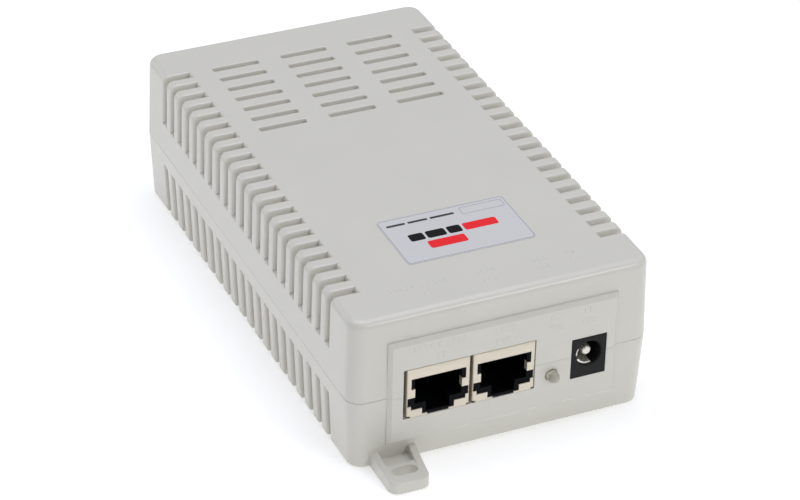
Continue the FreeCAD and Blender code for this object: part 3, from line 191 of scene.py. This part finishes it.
def clear_resin():
    """Slightly milky clear epoxy of the lamp's lens."""
    mat, tree, shader = new_material("led_resin")
    tint = between(tree, noise(tree, 400), (0.87, 0.85, 0.7), (0.93, 0.91, 0.76))
    tree.links.new(tint, shader.inputs["Base Color"])
    tree.links.new(remap(tree, noise(tree, 900), 0.05, 0.1), shader.inputs["Roughness"])
    shader.inputs["Transmission Weight"].default_value = 0.56
    shader.inputs["IOR"].default_value = 1.52
    bump(tree, shader, noise(tree, 2500), 0.00001, 0.2)
    return mat


MATERIALS = {name: surface(name, **look) for name, look in LOOKS.items()}
MATERIALS["led_resin"] = clear_resin()
SLOT_OF = {part["node"]: part["material_slot"] for part in frame["record"]["subparts"]}


def dress_cad_nodes():
    """Every CAD node takes the procedural material of its slot."""
    for name, obj in frame["nodes"].items():
        obj.data.materials.clear()
        obj.data.materials.append(MATERIALS[SLOT_OF[name]])


# ---------------------------------------------------------------- mesh helpers
def add_mesh(name, bm, material, body=ROOT, smooth=False):
    """Object from a bmesh, in a material, riding on a body."""
    bmesh.ops.recalc_face_normals(bm, faces=bm.faces)
    mesh = bpy.data.meshes.new(name)
    bm.to_mesh(mesh)
    bm.free()
    for polygon in mesh.polygons:
        polygon.use_smooth = smooth
    obj = bpy.data.objects.new(name, mesh)
    bpy.context.scene.collection.objects.link(obj)
    mesh.materials.append(MATERIALS[material])
    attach(obj, body)


def rounded_outline(x0, x1, y0, y1, r, steps=6):
    """Points of a rectangle with round corners, anticlockwise; steps is for each corner."""
    corners = ((x1 - r, y1 - r, 0), (x0 + r, y1 - r, 90),
               (x0 + r, y0 + r, 180), (x1 - r, y0 + r, 270))
    points = []
    for cx, cy, start in corners:
        for i in range(steps + 1):
            angle = math.radians(start + 90 * i / steps)
            points.append((cx + r * math.cos(angle), cy + r * math.sin(angle)))
    return points


def circle(count):
    """Angles, in radians, of points spread evenly round a circle."""
    return [2 * math.pi * k / count for k in range(count)]


def add_walls(bm, low, high):
    """Band of faces between two closed rows of points."""
    for i in range(len(low)):
        j = (i + 1) % len(low)
        bm.faces.new((low[i], low[j], high[j], high[i]))


def add_plate(bm, outline, place, thick, rim=0.0):
    """Flat piece from an outline, with a sloping rim; place maps (u, v, height) into the frame."""
    centre_u = sum(u for u, _ in outline) / len(outline)
    centre_v = sum(v for _, v in outline) / len(outline)
    low = [bm.verts.new(place(u, v, 0.0)) for u, v in outline]
    high = []
    for u, v in outline:
        k = 1 - rim / math.hypot(u - centre_u, v - centre_v)
        high.append(bm.verts.new(place(centre_u + (u - centre_u) * k,
                                       centre_v + (v - centre_v) * k, thick)))
    add_walls(bm, low, high)
    bm.faces.new(high)
    bm.faces.new(list(reversed(low)))


def add_ring(bm, box, r, width, place, thick):
    """Rounded rectangular line of the given width, inside the box (x0, x1, y0, y1)."""
    x0, x1, y0, y1 = box
    outer = rounded_outline(x0, x1, y0, y1, r)
    inner = rounded_outline(x0 + width, x1 - width, y0 + width, y1 - width,
                            max(r - width, r * 0.3))
    rows = [[bm.verts.new(place(u, v, h)) for u, v in line]
            for line, h in ((outer, 0.0), (outer, thick), (inner, thick), (inner, 0.0))]
    for a, b in zip(rows, rows[1:] + rows[:1]):
        add_walls(bm, a, b)


def lathe(bm, profile, place, sides=32):
    """Closed surface of revolution; profile is (radius, distance along the axis)."""
    rows = []
    for radius, along in profile:
        rows.append([bm.verts.new(place(radius * math.cos(a), radius * math.sin(a), along))
                     for a in circle(sides)])
    for a, b in zip(rows, rows[1:]):
        add_walls(bm, a, b)
    bm.faces.new(rows[0])
    bm.faces.new(list(reversed(rows[-1])))


def wire_loop(bm, points, normal, radius, sides=8):
    """Closed round wire along points that lie in a plane with the given normal."""
    rows = []
    for i, point in enumerate(points):
        tangent = (points[(i + 1) % len(points)] - points[i - 1]).normalized()
        across = normal.cross(tangent)
        rows.append([bm.verts.new(point + radius * (math.cos(a) * across + math.sin(a) * normal))
                     for a in circle(sides)])
    for a, b in zip(rows, rows[1:] + rows[:1]):
        add_walls(bm, a, b)


# ---------------------------------------------------------------- printed label
INK = 0.02 * MM                 # thickness of all print
LABEL_BORDER_IN = 0.22 * MM     # from the label's edge
LABEL_BORDER_W = 0.2 * MM
LABEL_BORDER_R = 1.0 * MM
STRIP_X = (4.4 * MM, 15.6 * MM)     # blank strip, from the label's centre
STRIP_BELOW = (4.3 * MM, 1.3 * MM)  # its lower and upper line, from the label's upper edge
STRIP_R = 0.5 * MM
STRIP_W = 0.16 * MM
LABEL_BLOCKS = (
    # piece, material, corner radius, then left, right, low and high of each block from the
    # label's centre, all in mm
    ("label_rules", "print_text", 0.3,
     ((-15.0, -10.2, 6.5, 7.3), (-9.5, -4.4, 6.5, 7.3), (-3.7, 2.6, 6.5, 7.3))),
    ("label_mark_dark", "print_dark", 0.6,
     ((-11.9, -8.1, -1.1, 1.9), (-7.5, -2.6, -1.1, 1.9), (-2.0, 1.5, -1.1, 1.9))),
    ("label_mark_red", "print_red", 0.6,
     ((-8.6, 1.0, -5.4, -2.2), (2.2, 10.9, -1.1, 1.9))),
)


def add_label_print():
    """Border, blank strip, thin rules in place of small text, and a plain block mark."""
    (x0, y0, _), (x1, y1, z1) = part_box("top_label")
    centre = ((x0 + x1) / 2, (y0 + y1) / 2)
    half_w = (x1 - x0) / 2
    half_l = (y1 - y0) / 2
    edge = LABEL_BORDER_IN

    def place(u, v, h):
        return centre[0] + u, centre[1] + v, z1 + h

    lines = bmesh.new()
    add_ring(lines, (-half_w + edge, half_w - edge, -half_l + edge, half_l - edge),
             LABEL_BORDER_R, LABEL_BORDER_W, place, INK)
    add_ring(lines, (*STRIP_X, half_l - STRIP_BELOW[0], half_l - STRIP_BELOW[1]),
             STRIP_R, STRIP_W, place, INK)
    add_mesh("label_lines", lines, "print_grey")

    for name, material, corner, blocks in LABEL_BLOCKS:
        bm = bmesh.new()
        for block in blocks:
            add_plate(bm, rounded_outline(*(side * MM for side in block), corner * MM), place, INK)
        add_mesh(name, bm, material)


# ---------------------------------------------------------------- embossed legends
RAISE = 0.08 * MM
# All in mm from here
BLOCK_W = 0.9
BLOCK_H = 1.45
BLOCK_R = 0.25
BLOCK_RIM = 0.1
BLOCK_PITCH = 1.38
# Start and number of blocks of each group, for the upper and the lower row of each port in turn
LEGENDS = (((-24.7, 5), (-17.2, 1), (-15.0, 4)), ((-17.4, 2),),
           ((-2.7, 4),), ((-2.4, 3),), ((11.5, 3),), ((11.3, 3),), ((20.3, 2),), ((19.9, 3),))
PANEL_ROWS = (31.2, 28.1)       # heights of the upper and lower row
TOP_ROWS = (-57.6, -61.2)       # y of the upper and lower row


def add_legend_rows(name, place, rows):
    """Short raised blocks where each port's name stands; rows is the place of the two rows."""
    bm = bmesh.new()
    for i, groups in enumerate(LEGENDS):
        v = rows[i % 2]
        for start, count in groups:
            for block in range(count):
                u = start + BLOCK_PITCH * block
                outline = rounded_outline(u * MM, (u + BLOCK_W) * MM, (v - BLOCK_H / 2) * MM,
                                          (v + BLOCK_H / 2) * MM, BLOCK_R * MM, 3)
                add_plate(bm, outline, place, RAISE, rim=BLOCK_RIM * MM)
    add_mesh(name, bm, "case_plastic")


def add_legends():
    """Raised marks above the ports, on the panel and on the top face."""
    panel_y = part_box("top_cover")[0][1]
    top_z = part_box("top_cover")[1][2]
    add_legend_rows("panel_legends", lambda u, v, h: (u, panel_y - h, v), PANEL_ROWS)
    add_legend_rows("top_legends", lambda u, v, h: (u, v, top_z + h), TOP_ROWS)


# ---------------------------------------------------------------- lamp
# Places from the lens's axis, and profiles as (radius, distance from the lens's tip), in mm
CUP_X = -0.35
CUP_PROFILE = ((0.32, 6.2), (0.32, 3.6), (0.62, 3.2), (0.72, 2.6), (0.6, 2.6), (0.35, 3.0))
POST_X = 0.75
POST_PROFILE = ((0.22, 6.2), (0.22, 3.0), (0.3, 2.7), (0.2, 2.6))


def add_lamp_inside():
    """Reflector cup on its post, and the second post, inside the lens."""
    (x0, y0, z0), (x1, _, z1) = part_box("status_led_lens")
    cx = (x0 + x1) / 2
    cz = (z0 + z1) / 2
    bm = bmesh.new()
    for x, profile, sides in ((CUP_X, CUP_PROFILE, 24), (POST_X, POST_PROFILE, 16)):
        lathe(bm, [(r * MM, along * MM) for r, along in profile],
              lambda u, v, along, x=x: (cx + x * MM + u, y0 + along, cz + v), sides)
    add_mesh("lamp_posts", bm, "plated_metal")


# ---------------------------------------------------------------- underside label
RATING_EDGE = 1.6 * MM
RATING_BORDER_R = 0.8 * MM
RATING_BORDER_W = 0.25 * MM
BAR_LENGTHS = (0.9, 0.7, 0.8, 0.45, 0.85, 0.6)      # share of the room inside the border
BAR_FIRST = 5 * MM              # from the border to the middle of the first bar
BAR_PITCH = 5.2 * MM
BAR_IN = 2.4 * MM
BAR_HALF_H = 0.7 * MM
BAR_R = 0.4 * MM


def add_rating_print():
    """Generic bars on the rating label, which is read from below."""
    (x0, y0, z0), (x1, y1, _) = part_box("rating_label")
    half_w = (x1 - x0) / 2 - RATING_EDGE
    half_l = (y1 - y0) / 2 - RATING_EDGE
    centre = ((x0 + x1) / 2, (y0 + y1) / 2)

    def place(u, v, h):
        return centre[0] + u, centre[1] + v, z0 - h

    bm = bmesh.new()
    add_ring(bm, (-half_w, half_w, -half_l, half_l), RATING_BORDER_R, RATING_BORDER_W, place, INK)
    for row, share in enumerate(BAR_LENGTHS):
        v = half_l - (BAR_FIRST + BAR_PITCH * row)
        start = -half_w + BAR_IN
        end = start + (2 * half_w - 2 * BAR_IN) * share
        bar = rounded_outline(start, end, v - BAR_HALF_H, v + BAR_HALF_H, BAR_R)
        add_plate(bm, bar, place, INK)
    add_mesh("rating_bars", bm, "print_text")


# ---------------------------------------------------------------- parts on the board
LEAD_NODES = ("bridge_rectifier_leads", "capacitor_leads", "choke_windings", "optocoupler_leads",
              "disc_capacitor_leads", "inductor_winding", "transformer_pins", "data_in_pins",
              "data_out_pins", "dc_jack_terminals", "status_led_leads")
CHIP_NODES = ("optocoupler", "lan_magnetics", "control_chips")

CHOKE_WIRE_R = 0.36 * MM
CHOKE_COIL = 0.85 * MM          # how far the wire's centre stands off the ring
CHOKE_HOLE = 0.514              # radius of the ring's hole over its outer radius
CHOKE_CORNER_R = 0.8 * MM
CHOKE_TURN_ANGLE = 11           # degrees between turns

INDUCTOR_FLANGE = 1.6 * MM
INDUCTOR_WIRE_R = 0.3 * MM
INDUCTOR_WIRE_IN = 0.55 * MM    # from the flange's edge to the wire's centre
INDUCTOR_PITCH = 2.1            # in radii of the wire

# (added to the lead's half width, distance below the board), in mm
SOLDER_PROFILE = ((0.55, 0.0), (0.45, 0.12), (0.12, 0.5), (0.02, 0.95))
LEAD_BELOW = 0.3 * MM           # points further down than this belong to a lead
LEAD_REACH = 0.75 * MM          # points closer than this belong to one lead

STRIPE_FROM = 65                # degrees
STRIPE_STEP = 5                 # degrees
STRIPE_STEPS = 10
STRIPE_END = 1.5 * MM           # from each end of the can
STRIPE_UNDER = 0.02 * MM        # the stripe's inner face lies this deep in the can
STRIPE_OVER = 0.03 * MM         # and its outer face this far out

OUTLINE_GROW = 0.5 * MM
OUTLINE_R = 0.4 * MM
OUTLINE_W = 0.18 * MM
DOT_R = 0.4 * MM
DOT_IN = 1.2 * MM               # from the chip's edges


def add_choke_turns():
    """Single turns of wire over both coils of the ring choke."""
    (x0, y0, z0), (x1, y1, z1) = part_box("choke_core")
    centre = Vector(((x0 + x1) / 2, (y0 + y1) / 2, 0))
    r_out = (x1 - x0) / 2 + CHOKE_COIL
    r_in = (x1 - x0) / 2 * CHOKE_HOLE - CHOKE_COIL
    line = rounded_outline(r_in, r_out, z0 - CHOKE_COIL, z1 + CHOKE_COIL, CHOKE_CORNER_R, 4)
    bm = bmesh.new()
    for side in (0, 180):
        for step in range(-5, 6):
            angle = math.radians(side + step * CHOKE_TURN_ANGLE)
            outward = Vector((math.cos(angle), math.sin(angle), 0))
            normal = Vector((-math.sin(angle), math.cos(angle), 0))
            wire_loop(bm, [centre + outward * u + Vector((0, 0, v)) for u, v in line], normal,
                      CHOKE_WIRE_R)
    add_mesh("choke_turns", bm, "copper_wire", smooth=True)


def add_inductor_turns():
    """Single turns of wire over the coil of the drum inductor."""
    (x0, y0, z0), (x1, y1, z1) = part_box("inductor_core")
    cx = (x0 + x1) / 2
    cy = (y0 + y1) / 2
    radius = (x1 - x0) / 2 - INDUCTOR_WIRE_IN
    room = z1 - z0 - 2 * INDUCTOR_FLANGE
    turns = int(room / (INDUCTOR_PITCH * INDUCTOR_WIRE_R))
    bm = bmesh.new()
    for turn in range(turns):
        z = z0 + INDUCTOR_FLANGE + (turn + 0.5) * room / turns
        ring = [Vector((cx + radius * math.cos(a), cy + radius * math.sin(a), z))
                for a in circle(48)]
        wire_loop(bm, ring, Vector((0, 0, 1)), INDUCTOR_WIRE_R, 6)
    add_mesh("inductor_turns", bm, "copper_wire", smooth=True)


def points_of(node):
    """All the points of a CAD node, in the frame."""
    obj = frame["nodes"][node]
    return [obj.matrix_world @ vertex.co for vertex in obj.data.vertices]


def solids_of(node):
    """Boxes (low corner, high corner) of the separate solids of a CAD node."""
    obj = frame["nodes"][node]
    bm = bmesh.new()
    bm.from_mesh(obj.data)
    bm.transform(obj.matrix_world)
    bmesh.ops.remove_doubles(bm, verts=bm.verts, dist=0.001 * MM)
    boxes = []
    left = set(bm.verts)
    while left:
        shell = [left.pop()]
        for vertex in shell:
            near = {edge.other_vert(vertex) for edge in vertex.link_edges} & left
            left -= near
            shell += near
        boxes.append(([min(v.co[i] for v in shell) for i in range(3)],
                      [max(v.co[i] for v in shell) for i in range(3)]))
    bm.free()
    return sorted(boxes)


def clusters(points, reach):
    """Groups of points whose neighbours are closer than reach, seen from above."""
    left = list({(round(p.x, 5), round(p.y, 5)) for p in points})
    groups = []
    while left:
        group = [left.pop()]
        for member in group:
            near = [p for p in left if math.dist(p, member) < reach]
            left = [p for p in left if p not in near]
            group += near
        groups.append(group)
    return groups


def add_solder_joints():
    """Solder cone round every lead under the board."""
    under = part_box("main_board")[0][2]
    bm = bmesh.new()
    for node in LEAD_NODES:
        ends = [p for p in points_of(node) if p.z < under - LEAD_BELOW]
        for group in clusters(ends, LEAD_REACH):
            x = (min(p[0] for p in group) + max(p[0] for p in group)) / 2
            y = (min(p[1] for p in group) + max(p[1] for p in group)) / 2
            half = max(math.dist(p, (x, y)) for p in group)
            lathe(bm, [(half + r * MM, along * MM) for r, along in SOLDER_PROFILE],
                  lambda u, v, along, x=x, y=y: (x + u, y + v, under - along), 16)
    add_mesh("solder_joints", bm, "solder_tin", smooth=True)


def add_can_details():
    """Bare metal top and a pale stripe for every electrolytic capacitor."""
    tops = bmesh.new()
    stripes = bmesh.new()
    angles = [math.radians(STRIPE_FROM + STRIPE_STEP * k) for k in range(STRIPE_STEPS + 1)]
    for node in ("input_capacitor", "output_capacitors"):
        for (x0, y0, low), (x1, y1, high) in solids_of(node):
            x = (x0 + x1) / 2
            y = (y0 + y1) / 2
            r = (x1 - x0) / 2
            lathe(tops, [(r * 0.8, 0.0), (r * 0.8, 0.06 * MM), (r * 0.7, 0.1 * MM)],
                  lambda u, v, along, x=x, y=y, high=high: (x + u, y + v, high + along))
            rows = []
            for z in (low + STRIPE_END, high - STRIPE_END):
                for reach in (r - STRIPE_UNDER, r + STRIPE_OVER):
                    rows.append([stripes.verts.new((x + reach * math.cos(a),
                                                    y + reach * math.sin(a), z))
                                 for a in angles])
            for a, b in ((0, 1), (1, 3), (3, 2), (2, 0)):
                for k in range(STRIPE_STEPS):
                    stripes.faces.new((rows[a][k], rows[a][k + 1], rows[b][k + 1], rows[b][k]))
            for k in (0, STRIPE_STEPS):
                stripes.faces.new((rows[0][k], rows[1][k], rows[3][k], rows[2][k]))
    add_mesh("can_tops", tops, "sink_aluminium")
    add_mesh("can_stripes", stripes, "print_pale")


def add_board_print():
    """Printed outlines round the parts on the board, and a dot at the first pin of each chip."""
    board_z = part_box("main_board")[1][2]
    grow = OUTLINE_GROW

    def place(u, v, h):
        return u, v, board_z + h

    lines = bmesh.new()
    dots = bmesh.new()
    for node in ("bridge_rectifiers", "choke_core", "inductor_core", "surface_diodes") + CHIP_NODES:
        for (x0, y0, _), (x1, y1, top) in solids_of(node):
            add_ring(lines, (x0 - grow, x1 + grow, y0 - grow, y1 + grow), OUTLINE_R, OUTLINE_W,
                     place, INK)
            if node in CHIP_NODES:
                x = x0 + DOT_IN
                y = y0 + DOT_IN
                lathe(dots, [(DOT_R, 0.0), (DOT_R, INK)],
                      lambda u, v, along, x=x, y=y, top=top: (x + u, y + v, top + along), 16)
    add_mesh("board_lines", lines, "print_pale")
    add_mesh("chip_dots", dots, "print_pale")


# ---------------------------------------------------------------- stage
# Fitted to the photograph, with no lens shift; the lens and the sensor are in mm
CAMERA_PLACE = Vector((-0.27803, -0.61300, 0.44456))
CAMERA_RIGHT = Vector((0.91386, -0.40545, 0.02177))
CAMERA_UP = Vector((0.20272, 0.50208, 0.84073))
CAMERA_LENS = 143.51
SENSOR_WIDTH = 36.0

FLOOR_HALF = 3.0
FLOOR_GAP = 0.0002              # below the object, so that the two faces don't share a plane
FLOOR_GLOW = 0.33               # brings the floor to the white of the photograph's background
SURROUND_COLOUR = (0.975, 0.99, 1.03, 1)
SURROUND_STRENGTH = 0.31
AIM = (0, 0, 0.02)              # the point that the lights face
LIGHTS = (
    # name, position, size, power, colour
    ("overhead", (0.0, 0.08, 0.9), 0.8, 4.7, (0.95, 0.965, 1.06)),
    ("front", (0.36, -0.76, 0.5), 0.24, 1.3, (1.0, 1.0, 0.96)),
    ("back_left", (-0.5, 0.7, 0.3), 0.35, 0.45, (1.0, 1.0, 1.0)),
)


def add_camera():
    """Camera at the reference viewing angle."""
    data = bpy.data.cameras.new("camera")
    data.lens = CAMERA_LENS
    data.sensor_width = SENSOR_WIDTH
    data.clip_start = 0.01
    camera = bpy.data.objects.new("camera", data)
    back = CAMERA_RIGHT.cross(CAMERA_UP)
    place = Matrix((CAMERA_RIGHT, CAMERA_UP, back)).transposed().to_4x4()
    place.translation = CAMERA_PLACE
    camera.matrix_world = place
    bpy.context.scene.collection.objects.link(camera)
    bpy.context.scene.camera = camera


def add_area_light(name, position, size, power, colour):
    """Square soft light that faces the object."""
    data = bpy.data.lights.new(name, "AREA")
    data.color = colour
    data.size = size
    data.energy = power
    light = bpy.data.objects.new(name, data)
    light.location = position
    aim = Vector(AIM) - Vector(position)
    light.rotation_euler = aim.to_track_quat("-Z", "Y").to_euler()
    bpy.context.scene.collection.objects.link(light)


def add_floor():
    """Pale floor that glows a little."""
    bm = bmesh.new()
    bmesh.ops.create_grid(bm, x_segments=1, y_segments=1, size=FLOOR_HALF)
    mesh = bpy.data.meshes.new("floor")
    bm.to_mesh(mesh)
    bm.free()
    floor = bpy.data.objects.new("floor", mesh)
    floor.location.z = CAD_BOX[0][2] - FLOOR_GAP
    bpy.context.scene.collection.objects.link(floor)
    pale = surface("floor", (0.93, 0.93, 0.93), vary=0.005, rough=(0.6, 0.7), grain=300)
    shader = pale.node_tree.nodes["Principled BSDF"]
    shader.inputs["Emission Color"].default_value = (1, 1, 1, 1)
    shader.inputs["Emission Strength"].default_value = FLOOR_GLOW
    mesh.materials.append(pale)


def add_surround():
    """Even light from all round."""
    world = bpy.data.worlds.new("surround")
    world.use_nodes = True
    background = world.node_tree.nodes["Background"]
    background.inputs["Color"].default_value = SURROUND_COLOUR
    background.inputs["Strength"].default_value = SURROUND_STRENGTH
    bpy.context.scene.world = world


dress_cad_nodes()
add_label_print()
add_legends()
add_lamp_inside()
add_rating_print()
add_choke_turns()
add_inductor_turns()
add_solder_joints()
add_can_details()
add_board_print()
add_floor()
add_surround()
for light in LIGHTS:
    add_area_light(*light)
add_camera()
bpy.context.scene.view_settings.view_transform = "Standard"
